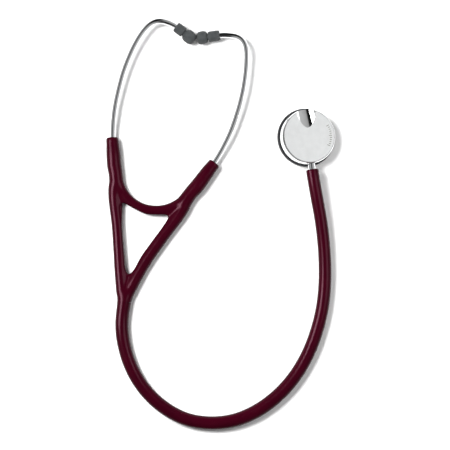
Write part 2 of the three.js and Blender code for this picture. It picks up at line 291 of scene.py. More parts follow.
def make_camera():
    data = bpy.data.cameras.new("camera")
    data.sensor_width = SENSOR
    data.lens = SENSOR * CAMERA_HEIGHT / FIELD_WIDTH
    data.clip_start = 0.01
    data.clip_end = 20
    camera = bpy.data.objects.new("camera", data)
    camera.location = (CAMERA_POINT[0] * MM, CAMERA_POINT[1] * MM, CAMERA_HEIGHT * MM)
    bpy.context.scene.collection.objects.link(camera)
    bpy.context.scene.camera = camera


def make_table():
    half = TABLE_SIZE / 2
    corners = [(-half, -half, 0), (half, -half, 0), (half, half, 0), (-half, half, 0)]
    table = new_piece("table", corners, [(0, 1, 2, 3)])
    table.data.materials.append(table_material())


def add_softbox(name, place, aim, size, strength, mirrored=False, only_on=None):
    """A square or oblong area light at a place, facing the point it is aimed at. It shows
    only as a mirrored highlight, or else only as light on matt surfaces, and it may fall
    on one collection's pieces only."""
    data = bpy.data.lights.new(name, "AREA")
    data.shape = "RECTANGLE"
    data.size, data.size_y = (length * MM for length in size)
    data.energy = strength
    light = bpy.data.objects.new(name, data)
    light.location = Vector(place) * MM
    heading = (Vector(aim) - Vector(place)) * MM
    light.rotation_euler = heading.to_track_quat("-Z", "Y").to_euler()
    light.visible_diffuse = not mirrored
    light.visible_glossy = mirrored
    light.light_linking.receiver_collection = only_on
    bpy.context.scene.collection.objects.link(light)
    return light


def hold_with_distance(light_data):
    """Keeps a light as strong far away as it is one metre away."""
    light_data.use_nodes = True
    nodes = light_data.node_tree.nodes
    falloff = nodes.new("ShaderNodeLightFalloff")
    falloff.inputs["Strength"].default_value = 1.0
    light_data.node_tree.links.new(falloff.outputs["Constant"],
                                   nodes["Emission"].inputs["Strength"])


def make_lights():
    """A soft key from the upper left, a low fill near the right, highlights for the tubing
    and the chestpiece, and a light over the ear tips."""
    key = add_softbox("key", place=(-345, 142, 620), aim=(20, -50, 0), size=(290, 290),
                      strength=19.0)
    hold_with_distance(key.data)
    add_softbox("fill", place=(330, -30, 260), aim=(60, -40, 0), size=(300, 300), strength=0.75)
    for name, across, width, strength in (("gloss_left", -810, 430, 30),
                                          ("gloss_right", 780, 520, 7.5)):
        add_softbox(name, place=(across, -70, 860), aim=(0, -50, 0), size=(width, 620),
                    strength=strength, mirrored=True, only_on=LIT_BY_GLOSS)
    add_softbox("panel", place=(-460, 520, 800), aim=(70, 35, 10), size=(620, 300),
                strength=7, mirrored=True, only_on=LIT_BY_PANEL)
    add_softbox("overhead", place=(-60, 130, 420), aim=(-22, 106, 8), size=(90, 90),
                strength=3.0, only_on=LIT_BY_OVERHEAD)
    make_world()
    view = bpy.context.scene.view_settings
    view.view_transform = "Standard"
    view.look = "None"


# What mirrors see of the room, by how far a direction leans to the left or right: bright
# sides, and a dark band overhead where a camera and its stand would be.
ROOM_LEVELS = ((-1.0, 0.22), (-0.85, 0.42), (-0.5, 0.46), (-0.36, 0.26), (-0.28, 0.03),
               (0.06, 0.02), (0.16, 0.26), (0.3, 0.4), (0.7, 0.52), (1.0, 0.56))
ROOM_AMBIENT = 0.205  # what lights matt surfaces from all round
ROOM_SEEN = 0.8  # the plain backdrop behind the table, in views from the side
DARK_PANEL = (-0.06, 0.5, 0.864)  # where a black panel hangs
DARK_PANEL_LEVEL = 0.05
PANEL_EDGES = (0.955, 0.975)  # cosines of the angles that it fades out over


def make_world():
    """A studio: even light for matt surfaces, bright and dark sides for mirrors, and a
    plain backdrop."""
    world = bpy.data.worlds.new("room")
    bpy.context.scene.world = world
    world.use_nodes = True
    nodes, links = world.node_tree.nodes, world.node_tree.links
    coordinates = nodes.new("ShaderNodeTexCoord").outputs["Generated"]
    split = nodes.new("ShaderNodeSeparateXYZ")
    links.new(coordinates, split.inputs[0])
    lean = set_up(nodes.new("ShaderNodeMapRange"), From_Min=-1.0)
    links.new(split.outputs["X"], lean.inputs["Value"])
    ramp = nodes.new("ShaderNodeValToRGB")
    set_ramp(ramp, [((place + 1) / 2, (level, level, level)) for place, level in ROOM_LEVELS])
    links.new(lean.outputs[0], ramp.inputs[0])
    closeness = set_up(nodes.new("ShaderNodeVectorMath"), operation="DOT_PRODUCT")
    links.new(coordinates, closeness.inputs[0])
    closeness.inputs[1].default_value = DARK_PANEL
    panel = set_up(nodes.new("ShaderNodeMapRange"), From_Min=PANEL_EDGES[0],
                   From_Max=PANEL_EDGES[1], To_Min=1.0, To_Max=DARK_PANEL_LEVEL)
    links.new(closeness.outputs["Value"], panel.inputs["Value"])
    backgrounds = []
    for strength in (ROOM_AMBIENT, 1.0, ROOM_SEEN):
        backgrounds.append(set_up(nodes.new("ShaderNodeBackground"), Color=(1, 1, 1, 1),
                                  Strength=strength))
    surface, mirrored, backdrop = backgrounds
    links.new(ramp.outputs[0], mirrored.inputs["Color"])
    links.new(panel.outputs[0], mirrored.inputs["Strength"])
    light_path = nodes.new("ShaderNodeLightPath")
    for ray, background in (("Is Glossy Ray", mirrored), ("Is Camera Ray", backdrop)):
        mix = nodes.new("ShaderNodeMixShader")
        links.new(light_path.outputs[ray], mix.inputs["Fac"])
        links.new(surface.outputs[0], mix.inputs[1])
        links.new(background.outputs[0], mix.inputs[2])
        surface = mix
    links.new(surface.outputs[0], nodes["World Output"].inputs["Surface"])


# ------------------------------------------------------------------ materials
def set_ramp(ramp, stops):
    elements = ramp.color_ramp.elements
    while len(elements) < len(stops):
        elements.new(0.5)
    for element, (place, colour) in zip(elements, stops):
        element.position = place
        element.color = (*colour, 1)


def set_up(node, **values):
    """Sets a node's inputs, and its options, by name."""
    for key, value in values.items():
        socket = key.replace("_", " ")
        if socket in node.inputs:
            node.inputs[socket].default_value = value
        else:
            setattr(node, key, value)
    return node


NOISE_SPREAD = (0.3, 0.7)  # between which nearly all of a noise lies


class Shader:
    """A material with one Principled shader, and short ways to feed it."""

    def __init__(self, name, **settings):
        self.material = bpy.data.materials.new(name)
        self.material.use_nodes = True
        self.tree = self.material.node_tree
        self.surface = set_up(self.tree.nodes["Principled BSDF"], **settings)
        self.coordinates = self.node("ShaderNodeTexCoord").outputs["Object"]

    def node(self, kind, **settings):
        return set_up(self.tree.nodes.new(kind), **settings)

    def link(self, output, target):
        self.tree.links.new(output, target)

    def noise(self, scale, detail=2.0, stretch=(1, 1, 1)):
        """Noise whose grain is about 1/scale metres across."""
        mapping = self.node("ShaderNodeMapping", Scale=stretch)
        self.link(self.coordinates, mapping.inputs[0])
        noise = self.node("ShaderNodeTexNoise", Scale=scale, Detail=detail)
        self.link(mapping.outputs[0], noise.inputs["Vector"])
        return noise.outputs["Fac"]

    def ramp(self, value, stops):
        ramp = self.node("ShaderNodeValToRGB")
        set_ramp(ramp, stops)
        self.link(value, ramp.inputs[0])
        return ramp.outputs[0]

    def colour(self, value, low, high, spread=NOISE_SPREAD):
        self.link(self.ramp(value, ((spread[0], low), (spread[1], high))),
                  self.surface.inputs["Base Color"])

    def roughness(self, value, low, high):
        scaled = self.node("ShaderNodeMapRange", From_Min=NOISE_SPREAD[0],
                           From_Max=NOISE_SPREAD[1], To_Min=low, To_Max=high)
        self.link(value, scaled.inputs["Value"])
        self.link(scaled.outputs[0], self.surface.inputs["Roughness"])

    def bump(self, value, height_mm, strength=1.0):
        bump = self.node("ShaderNodeBump", Strength=strength, Distance=height_mm * MM)
        self.link(value, bump.inputs["Height"])
        self.link(bump.outputs[0], self.surface.inputs["Normal"])


def table_material():
    shader = Shader("table_white", Roughness=0.9, Specular_IOR_Level=0.0)
    shader.colour(shader.noise(3.0), (0.93, 0.93, 0.93), (0.95, 0.95, 0.95))
    return shader.material


def tubing_material():
    shader = Shader("burgundy_pvc", Roughness=0.22, Specular_IOR_Level=0.06,
                    Specular_Tint=(1.0, 0.55, 0.7, 1))
    shader.colour(shader.noise(60.0, 3), (0.0235, 0.0005, 0.0040), (0.029, 0.0007, 0.0048))
    shader.roughness(shader.noise(220.0, 4), 0.16, 0.22)
    shader.bump(shader.noise(900.0, 3), 0.006)
    return shader.material


def chrome_material():
    shader = Shader("plated_metal", Metallic=1.0, Roughness=0.1)
    shader.colour(shader.noise(90.0), (0.78, 0.79, 0.80), (0.84, 0.85, 0.86))
    shader.roughness(shader.noise(700.0, 5), 0.06, 0.13)
    return shader.material


def satin_material():
    """A turned face: fine rings about the piece's own +Z."""
    shader = Shader("satin_turned_steel", Metallic=0.55, Roughness=0.42)
    rings = shader.node("ShaderNodeTexWave", wave_type="RINGS", rings_direction="Z",
                        Scale=520.0, Distortion=1.2, Detail=3.0)
    shader.link(shader.coordinates, rings.inputs["Vector"])
    shader.colour(shader.noise(160.0, 3), (0.63, 0.64, 0.64), (0.68, 0.69, 0.69))
    shader.roughness(shader.noise(500.0, 4), 0.38, 0.48)
    shader.bump(rings.outputs["Fac"], 0.004)
    return shader.material


def polished_material():
    shader = Shader("polished_steel", Metallic=1.0, Roughness=0.08)
    shader.colour(shader.noise(90.0), (0.80, 0.81, 0.81), (0.86, 0.87, 0.87))
    shader.roughness(shader.noise(800.0, 5), 0.05, 0.12)
    return shader.material


def spring_material():
    shader = Shader("spring_steel", Metallic=1.0, Roughness=0.35)
    shader.colour(shader.noise(200.0, 4), (0.36, 0.37, 0.39), (0.46, 0.47, 0.49))
    shader.roughness(shader.noise(900.0, 4), 0.28, 0.45)
    return shader.material


def soft_tip_material():
    shader = Shader("grey_silicone", Roughness=0.55, Specular_IOR_Level=0.2)
    shader.colour(shader.noise(260.0, 5), (0.020, 0.022, 0.0225), (0.032, 0.034, 0.035))
    shader.roughness(shader.noise(500.0, 4), 0.48, 0.62)
    shader.bump(shader.noise(1500.0, 4), 0.03)
    return shader.material


def hard_core_material():
    shader = Shader("dark_moulded_plastic", Roughness=0.45)
    shader.colour(shader.noise(300.0, 4), (0.022, 0.022, 0.024), (0.036, 0.036, 0.038))
    shader.roughness(shader.noise(700.0, 4), 0.38, 0.5)
    return shader.material


def rim_material():
    shader = Shader("dark_rim", Roughness=0.5, Specular_IOR_Level=0.2)
    shader.colour(shader.noise(220.0, 4), (0.018, 0.019, 0.021), (0.030, 0.031, 0.033))
    shader.roughness(shader.noise(800.0, 4), 0.45, 0.58)
    shader.bump(shader.noise(1400.0, 3), 0.008)
    return shader.material


def surround_material():
    shader = Shader("flexible_ring", Roughness=0.6)
    shader.colour(shader.noise(300.0, 4), (0.020, 0.020, 0.021), (0.034, 0.034, 0.036))
    shader.bump(shader.noise(1600.0, 3), 0.012)
    return shader.material


def diaphragm_material():
    """A thin glass-cloth laminate: a fine square weave under a clear skin."""
    shader = Shader("ivory_laminate", Roughness=0.3, Coat_Weight=0.4)
    waves = []
    for direction in ("X", "Y"):
        wave = shader.node("ShaderNodeTexWave", wave_type="BANDS", bands_direction=direction,
                           Scale=450.0, Distortion=0.6)
        shader.link(shader.coordinates, wave.inputs["Vector"])
        waves.append(wave.outputs["Fac"])
    weave = shader.node("ShaderNodeMath", operation="MULTIPLY")
    for wave, socket in zip(waves, weave.inputs):
        shader.link(wave, socket)
    shader.colour(weave.outputs[0], (0.58, 0.55, 0.45), (0.68, 0.65, 0.55), (0.1, 0.9))
    shader.bump(weave.outputs[0], 0.02)
    return shader.material


def mark_material():
    shader = Shader("etched_mark", Metallic=0.4, Roughness=0.6)
    shader.colour(shader.noise(900.0, 4), (0.09, 0.085, 0.06), (0.16, 0.15, 0.115))
    return shader.material


MATERIALS = {
    "tubing": tubing_material(),
    "plated_metal": chrome_material(),
    "chestpiece_metal": satin_material(),
    "polished": polished_material(),
    "spring_steel": spring_material(),
    "soft_tip": soft_tip_material(),
    "hard_core": hard_core_material(),
    "rim_ring": rim_material(),
    "surround": surround_material(),
    "diaphragm": diaphragm_material(),
}


def finish_piece(piece, body, slot, *replaced, material=None):
    """Gives a piece its slot's material or one of its own, and its body, and hides the
    nodes it stands for."""
    piece.data.materials.clear()
    piece.data.materials.append(material or MATERIALS[slot])
    if replaced:
        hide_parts(*replaced)
    if body:
        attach(piece, body)
    return piece


# ------------------------------------------------------------------ main tube
LEG_END = (-83.9, -122.1, 5.6)
ROUTE = [
    (-85, -130, 5.6), (-85.9, -142, 5.6), (-84.5, -156, 5.6), (-80.2, -172.2, 5.6),
    (-72.4, -188.6, 5.6), (-61.4, -202.9, 5.6), (-46.8, -215, 5.7), (-29.8, -223.4, 5.7),
    (-9.5, -226.6, 5.8), (10.7, -224.5, 5.8), (30.3, -216.5, 5.9), (47.8, -203.9, 6.0),
    (62.8, -187.5, 6.1), (74.3, -168.4, 6.2), (82, -149, 6.3), (87.4, -127.5, 6.4),
    (89.6, -106, 6.9), (89.2, -80, 8.2), (86.1, -52.5, 10.1), (81.8, -29.5, 12.2),
]
LEG_LEAD = 2.5  # how far the tube runs straight on from the leg
STEM_LEAD = 7.0  # and straight towards the stem
# The tube's radius by the distance along it: widest at the leg and in its bend.
TUBE_RADII = ((0, 6.0), (4, 5.9), (10, 5.72), (130, 5.75), (190, 5.9), (250, 5.72),
              (300, 5.6), (380, 5.4))


def chest_frame():
    """The chestpiece's own frame, in millimetres: +Z out of its metal face, -Y along the stem."""
    up = Vector(joint_axis("diaphragm_press"))
    stem = Vector(joint_axis("chestpiece_swivel"))
    side = (-stem).cross(up)
    middle = Vector(joint_point("chestpiece_swivel")) - stem * TUBE_END - up * STEM_HEIGHT
    matrix = Matrix((side, -stem, up)).transposed().to_4x4()
    matrix.translation = middle * MM
    return matrix


def make_main_tube():
    stem_axis = joint_axis("chestpiece_swivel")
    tube_end = joint_point("chestpiece_swivel") - stem_axis * TUBE_OVER_STEM
    lead = tube_end + stem_axis * STEM_LEAD
    straight_out = (LEG_END[0], LEG_END[1] - LEG_LEAD, LEG_END[2])
    path = smooth_path([LEG_END, straight_out, *ROUTE, lead, tube_end], spacing=1.0, rounds=30)
    length = arc_lengths(path)[-1]
    places, radii = zip(*TUBE_RADII, (length, TUBE_END_RADIUS))
    shoulder = length - TUBE_END_ROUNDING
    inner = TUBE_END_RADIUS - TUBE_END_ROUNDING
    stations = [(far, np.interp(far, places, radii)) for far in np.arange(0, shoulder, TUBE_STEP)]
    for angle in np.linspace(0, math.pi / 2, 6):
        stations.append((shoulder + TUBE_END_ROUNDING * math.sin(angle),
                         inner + TUBE_END_ROUNDING * math.cos(angle)))
    bevel_across, bevel_along = TUBE_MOUTH_BEVEL
    stations += [(length, TUBE_MOUTH_RADIUS + bevel_across),
                 (length - bevel_along, TUBE_MOUTH_RADIUS),
                 (length - TUBE_MOUTH_DEPTH, TUBE_MOUTH_RADIUS)]
    tube = swept("tube_skin", path, stations, sides=40)
    for vertex in tube.data.vertices:
        vertex.co.z = max(vertex.co.z, LOWEST * MM)
    finish_piece(tube, "frame", "tubing", "main_tube")
    LIT_BY_GLOSS.objects.link(tube)


# ------------------------------------------------------------------ the ear tubes' lines
# From the sleeves' tops to the tips, and inside the sleeves.
BENDS = {
    "left": [
        (-93.3, 27.5, 7.7), (-91.7, 43.7, 9), (-88.2, 60.8, 9.8), (-83.4, 77.9, 10.4),
        (-76.4, 95, 10.9), (-71.9, 103.6, 11.2), (-66.1, 112.1, 11.4), (-60.5, 117.6, 11.5),
        (-53.7, 120, 11.4), (-47, 119.2, 10.7),
    ],
    "right": [
        (-2.2, 4.6, 7.3), (2.7, 13.4, 8), (8.8, 26.4, 8.9), (14.6, 43.6, 9.8),
        (18.9, 60.7, 10.5), (21.3, 77.8, 11), (21.8, 86.4, 11.2), (21.7, 94.9, 11.3),
        (20.5, 100.1, 11.0), (17.6, 104.6, 10.4), (12.9, 107.1, 9.6), (7.6, 108.0, 8.9),
    ],
}
SLEEVE_LINES = {
    "left": [(-91.6, -8, 6.1), (-92.7, 6, 6.5), (-93.5, 17, 6.9)],
    "right": [(-19.8, -20.2, 6.2), (-12.1, -9.6, 6.6), (-7.6, -3.8, 6.7)],
}


# ------------------------------------------------------------------ yoke skin
SKIN_LOW = (-102, -128, -2)  # the box that the skin lies in
SKIN_HIGH = (3, 28, 16)
SKIN_CELL = 0.6
SKIN_REACH = 5.0  # how far from the surface the distance field is kept
FILLET = 2.6
SLEEVE_TOPS = {"left": (-93.8, 20.4, 7.0), "right": (-5.5, -1.1, 6.8)}

# Each arm's middle line as (x, y, z, radius), from its sleeve's top down to the leg, and
# the bridge's from left to right.
LEFT_ARM = [
    (-94.1, 24.5, 7.1, 5.25), (-93.75, 17, 6.9, 5.35), (-92.95, 6, 6.5, 6.2),
    (-92.2, -4.4, 6.3, 6.3), (-91.2, -10.5, 6.2, 6.1), (-91, -17, 6.0, 5.65),
    (-91.95, -24, 5.8, 5.6), (-92.05, -32, 5.6, 5.4), (-91.3, -41, 5.5, 5.15),
    (-89.6, -56, 5.4, 5.0), (-88.2, -77, 5.3, 5.05), (-87.3, -92.6, 5.3, 5.05),
    (-86.3, -103, 5.3, 5.3), (-85.2, -113, 5.5, 5.5), (-84.0, -118.5, 5.6, 5.85),
    (-83.9, -123, 5.6, 5.95), (-83.9, -128, 5.6, 5.95),
]
RIGHT_ARM = [
    (-3.2, 1.0, 6.9, 5.2), (-8.3, -5.3, 6.7, 5.4), (-11.8, -9.8, 6.6, 5.9),
    (-17.3, -17.5, 6.4, 6.15), (-21.1, -22.6, 6.4, 6.3), (-26, -28.1, 6.0, 5.8),
    (-30.5, -35.2, 5.8, 5.75), (-33.2, -41.1, 5.7, 5.55), (-37.8, -48.4, 5.6, 5.5),
    (-47.5, -61.4, 5.5, 5.3), (-62.4, -82.2, 5.4, 5.35), (-69, -92.7, 5.4, 5.35),
    (-74.8, -103.1, 5.5, 5.5), (-80, -113.4, 5.5, 5.4), (-82.3, -118.6, 5.5, 5.2),
    (-83.6, -123, 5.5, 4.5), (-84, -128, 5.5, 4.2),
]
BRIDGE = [
    (-91.6, -4, 6.2, 3.6), (-90.6, -13, 6.0, 4.6), (-88.2, -21, 5.8, 4.9),
    (-84.3, -28.2, 5.6, 4.5), (-76.9, -35.8, 5.5, 4.15), (-66.7, -41.2, 5.5, 4.3),
    (-55.4, -42.7, 5.5, 4.25), (-45.7, -41.3, 5.5, 4.35), (-35.5, -36.4, 5.6, 4.6),
    (-29, -30.3, 5.8, 4.9), (-23, -23.5, 6.1, 4.9), (-16, -14.5, 6.4, 3.8),
]

# The thin web between the limbs and the bridge, and the rounded hole through it.
WEB_CORNERS = [
    (-90, -25), (-91, -41), (-84, -119), (-33, -41), (-31, -34), (-36, -37.2), (-45.7, -42),
    (-55.4, -43.4), (-66.7, -42), (-76.9, -36.7), (-84.3, -29.3),
]
WEB_HEIGHTS = (2.2, 8.6)
HOLE = [
    (-87, -43.2), (-85.4, -58.9), (-83.6, -79.9), (-82.2, -93), (-79.7, -97.6),
    (-76.4, -95.4), (-68.5, -81.6), (-60.2, -70.1), (-47.9, -53), (-45.8, -48.6),
    (-48, -47.1), (-55.4, -46.9), (-64.3, -46.3), (-73.4, -42.2), (-80.8, -38.2),
    (-84.8, -36.6), (-86.8, -38.6),
]
WEB_FILLET = 2.0
HOLE_EASE = 0.35  # how far the limbs may bulge into the hole
HOLE_ROUNDING = 1.6
SLEEVE_ROUNDING = 1.8  # of the sleeves' ends
SLEEVE_END = 25.0  # a sleeve is cut square only this near to its top
SLEEVE_CUT_REACH = 22.0  # and only this far round it
BORE_RADIUS = 2.7  # of the sleeves' mouths, round the ear tubes
BORE_DEPTH = 9.0
SAME_PLACE = 1e-7  # metres; points that a cut leaves nearer than this are one


class Field:
    """A distance field over a box of cells, negative inside."""

    def __init__(self, low, high, cell):
        self.cell = cell
        self.low = np.array(low, float)
        self.shape = tuple(np.ceil((np.array(high) - self.low) / cell).astype(int) + 1)

    def grid(self, first=(0, 0, 0), last=None):
        """The x, y and z of the cells' corners, from one index up to another."""
        last = self.shape if last is None else last
        axes = [self.low[k] + self.cell * np.arange(first[k], last[k]) for k in range(3)]
        return np.meshgrid(*axes, indexing="ij", sparse=True)

    def chain(self, points):
        """The distance to a round chain through (x, y, z, radius) points, near it."""
        line = np.array(points, float)
        path = catmull_rom(line[:, :3], spacing=0.7)
        far = arc_lengths(path)
        marks = [far[np.argmin(np.linalg.norm(path - p, axis=1))] for p in line[:, :3]]
        radii = smooth_radii(np.interp(far, marks, line[:, 3]))
        out = np.full(self.shape, SKIN_REACH)
        for a, b, ra, rb in zip(path, path[1:], radii, radii[1:]):
            reach = max(ra, rb) + SKIN_REACH
            first = np.maximum(((np.minimum(a, b) - reach - self.low) / self.cell).astype(int), 0)
            last = ((np.maximum(a, b) + reach - self.low) / self.cell).astype(int) + 2
            last = np.minimum(last, self.shape)
            block = tuple(slice(f, l) for f, l in zip(first, last))
            x, y, z = self.grid(first, last)
            along = b - a
            size = along @ along
            t = ((x - a[0]) * along[0] + (y - a[1]) * along[1] + (z - a[2]) * along[2]) / size
            t = np.clip(t, 0, 1)
            gap = np.sqrt((x - a[0] - t * along[0]) ** 2 + (y - a[1] - t * along[1]) ** 2
                          + (z - a[2] - t * along[2]) ** 2)
            out[block] = np.minimum(out[block], gap - ra - t * (rb - ra))
        return out

    def half_space(self, point, normal):
        """The signed distance to a plane, positive on its normal's side."""
        x, y, z = self.grid()
        return ((x - point[0]) * normal[0] + (y - point[1]) * normal[1]
                + (z - point[2]) * normal[2])

    def near(self, middle, radius):
        """Where the cells' corners are inside a ball."""
        x, y, z = self.grid()
        return ((x - middle[0]) ** 2 + (y - middle[1]) ** 2 + (z - middle[2]) ** 2
                < radius ** 2)

    def outline(self, corners):
        """The signed distance across the table to a closed outline, negative inside it.
        It is the same at every height, so it has one layer."""
        x, y, _ = self.grid()
        gap = np.full((*self.shape[:2], 1), np.inf)
        inside = np.zeros(gap.shape, bool)
        corners = np.array(corners, float)
        for (ax, ay), (bx, by) in zip(corners, np.roll(corners, -1, axis=0)):
            size = max((bx - ax) ** 2 + (by - ay) ** 2, 1e-12)
            t = np.clip(((x - ax) * (bx - ax) + (y - ay) * (by - ay)) / size, 0, 1)
            gap = np.minimum(gap, np.hypot(x - ax - t * (bx - ax), y - ay - t * (by - ay)))
            crosses = (ay > y) != (by > y)
            if ay != by:
                inside ^= crosses & (x < ax + (y - ay) * (bx - ax) / (by - ay))
        return np.where(inside, -gap, gap)

    def sample(self, values, points):
        """Values at points, by linear mixing between the cells' corners."""
        at = (points - self.low) / self.cell
        base = np.clip(np.floor(at).astype(int), 0, np.array(self.shape) - 2)
        part = at - base
        out = 0
        for corner in np.ndindex(2, 2, 2):
            weight = np.prod(np.where(corner, part, 1 - part), axis=1)
            index = tuple((base + corner).T)
            out = out + (values[index].T * weight).T
        return out


def smooth_radii(radii, rounds=12):
    radii = radii.copy()
    for _ in range(rounds):
        radii[1:-1] += 0.25 * (radii[:-2] + radii[2:] - 2 * radii[1:-1])
    return radii


def blend_min(a, b, reach):
    """The lower of two fields, with a fillet where they meet."""
    share = np.clip(reach - np.abs(a - b), 0, None) / reach
    return np.minimum(a, b) - share * share * reach / 4


def blur(values, rounds):
    """A small blur that takes the facets out of a field."""
    for _ in range(rounds):
        for axis in range(3):
            moved = np.moveaxis(values, axis, 0)
            inner = 0.25 * moved[:-2] + 0.5 * moved[1:-1] + 0.25 * moved[2:]
            moved = np.concatenate([moved[:1], inner, moved[-1:]])
            values = np.moveaxis(moved, 0, axis)
    return values


def surface_net(field, values):
    """Points and quads of the surface where values pass zero."""
    inside = values < 0
    cells = np.zeros(tuple(n - 1 for n in values.shape), int)
    for corner in np.ndindex(2, 2, 2):
        cells += inside[tuple(slice(c, c + n) for c, n in zip(corner, cells.shape))]
    mixed = (cells > 0) & (cells < 8)
    number = np.full(cells.shape, -1)
    number[mixed] = np.arange(mixed.sum())
    points = field.low + field.cell * (np.argwhere(mixed) + 0.5)
    quads = []
    for axis in range(3):
        here = [slice(1, n - 1) for n in values.shape]
        ahead = list(here)
        here[axis] = slice(0, values.shape[axis] - 1)
        ahead[axis] = slice(1, values.shape[axis])
        changed = np.argwhere(inside[tuple(here)] != inside[tuple(ahead)])
        changed += np.where(np.arange(3) == axis, 0, 1)
        one, two = np.eye(3, dtype=int)[[(axis + 1) % 3, (axis + 2) % 3]]
        ring = [changed - one - two, changed - two, changed, changed - one]
        quads.append(np.stack([number[tuple(place.T)] for place in ring], axis=1))
    return points, np.vstack(quads)


LEAST_SLOPE = 0.25  # squared; keeps a step short where the field is nearly flat


def settle(field, values, slopes, points, rounds=4):
    """Moves points onto the surface where values are zero."""
    for _ in range(rounds):
        slope = field.sample(slopes, points)
        size = np.maximum((slope ** 2).sum(axis=1), LEAST_SLOPE)
        points = points - (field.sample(values, points) / size)[:, None] * slope
    return points


def hole_field(field):
    """The distance to the web's hole, negative inside it, at every height."""
    closed = [*HOLE[-2:], *HOLE, *HOLE[:2]]
    outline = catmull_rom([(x, y, 0) for x, y in closed], spacing=1.0)[:, :2]
    return field.outline(outline)


def web_field(field):
    """The distance field of the web, with its hole cut through."""
    low, high = WEB_HEIGHTS
    slab = np.maximum(field.half_space((0, 0, high), (0, 0, 1)),
                      field.half_space((0, 0, low), (0, 0, -1)))
    across = np.maximum(field.outline(WEB_CORNERS), -hole_field(field))
    return -blend_min(-slab, -across, WEB_FILLET)


def yoke_field():
    """The moulding's distance field: two arms, the bridge and a web, joined with fillets."""
    field = Field(SKIN_LOW, SKIN_HIGH, SKIN_CELL)
    arms = blend_min(field.chain(LEFT_ARM), field.chain(RIGHT_ARM), FILLET)
    values = blend_min(arms, field.chain(BRIDGE), FILLET)
    values = blend_min(values, web_field(field), WEB_FILLET)
    values = -blend_min(-values, hole_field(field) + HOLE_EASE, HOLE_ROUNDING)
    for side, line in (("left", LEFT_ARM), ("right", RIGHT_ARM)):
        out = np.array(line[0][:3]) - np.array(line[1][:3])
        out /= np.linalg.norm(out)
        top = np.array(SLEEVE_TOPS[side])
        plane = field.half_space(top, out)
        at_end = field.half_space(top - out * SLEEVE_END, out) > 0
        cut = -blend_min(-values, -plane, SLEEVE_ROUNDING)
        values = np.where(at_end & field.near(top, SLEEVE_CUT_REACH), cut, values)
    values = blur(values, rounds=2)
    for side, line in SLEEVE_LINES.items():
        top = np.array(SLEEVE_TOPS[side])
        bore = field.chain([(*point, BORE_RADIUS) for point in [*line, BENDS[side][0]]])
        values = np.where(field.near(top, BORE_DEPTH), np.maximum(values, -bore), values)
    return field, values


# Where the skin is cut in two: a point on the cut, the cut's normal, and how far round
# the point it reaches.
SEAMS = (
    ((-56, -42.9, 5.5), (1, 0, 0), 9),
    ((-69.1, -92.6, 5.3), (0.54, 0.84, 0), 9),
)


def split_skin(work):
    """Cuts the skin along its seams, and returns the faces of its left part."""
    barrier = set()
    for point, normal, reach in SEAMS:
        middle = Vector(point) * MM
        near = [f for f in work.faces if (f.calc_center_median() - middle).length < reach * MM]
        edges = {e for f in near for e in f.edges}
        corners = {v for f in near for v in f.verts}
        result = bmesh.ops.bisect_plane(work, geom=[*corners, *edges, *near],
                                        dist=SAME_PLACE, plane_co=middle, plane_no=normal)
        barrier |= {g for g in result["geom_cut"] if isinstance(g, bmesh.types.BMEdge)}
    work.faces.ensure_lookup_table()
    start = min(work.faces, key=lambda f: f.calc_center_median().x)
    found = {start}
    waiting = [start]
    while waiting:
        face = waiting.pop()
        for edge in face.edges:
            if edge in barrier:
                continue
            for other in edge.link_faces:
                if other not in found:
                    found.add(other)
                    waiting.append(other)
    return found


def make_yoke_skins():
    field, values = yoke_field()
    slopes = np.stack(np.gradient(values, SKIN_CELL), axis=-1)
    points, quads = surface_net(field, values)
    points = settle(field, values, slopes, points)
    points[:, 2] = np.maximum(points[:, 2], LOWEST)
    whole = bpy.data.meshes.new("yoke_whole")
    whole.from_pydata([tuple(p) for p in points * MM], [], [tuple(map(int, q)) for q in quads])
    skins = []
    for side in ("left", "right"):
        work = bmesh.new()
        work.from_mesh(whole)
        bmesh.ops.recalc_face_normals(work, faces=work.faces)
        bmesh.ops.bisect_plane(work, geom=[*work.verts, *work.edges, *work.faces],
                               dist=SAME_PLACE, plane_co=Vector(LEG_END) * MM,
                               plane_no=(0, -1, 0), clear_outer=True)
        left_faces = split_skin(work)
        drop = [f for f in work.faces if (f in left_faces) != (side == "left")]
        bmesh.ops.delete(work, geom=drop, context="FACES")
        open_edges = [e for e in work.edges if e.is_boundary]
        bmesh.ops.holes_fill(work, edges=open_edges, sides=0)
        bmesh.ops.recalc_face_normals(work, faces=work.faces)
        mesh = bpy.data.meshes.new(f"{side}_yoke_skin")
        work.to_mesh(mesh)
        work.free()
        piece = bpy.data.objects.new(f"{side}_yoke_skin", mesh)
        bpy.context.scene.collection.objects.link(piece)
        mesh.polygons.foreach_set("use_smooth", [True] * len(mesh.polygons))
        corners = np.array([v.co for v in mesh.vertices]) / MM
        normals = field.sample(slopes, corners)
        normals /= np.linalg.norm(normals, axis=1)[:, None]
        mesh.normals_split_custom_set_from_vertices([tuple(n) for n in normals])
        skins.append(piece)
    return skins


def add_yoke():
    left, right = make_yoke_skins()
    finish_piece(left, None, "tubing", "yoke", "left_sleeve")
    finish_piece(right, None, "tubing", "right_sleeve")
    for piece, hinge, side in ((left, LEFT_HINGE, "left"), (right, RIGHT_HINGE, "right")):
        up = np.array(SLEEVE_TOPS[side]) - hinge
        up[2] = 0
        up /= np.linalg.norm(up)
        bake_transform(piece)
        LIT_BY_GLOSS.objects.link(piece)


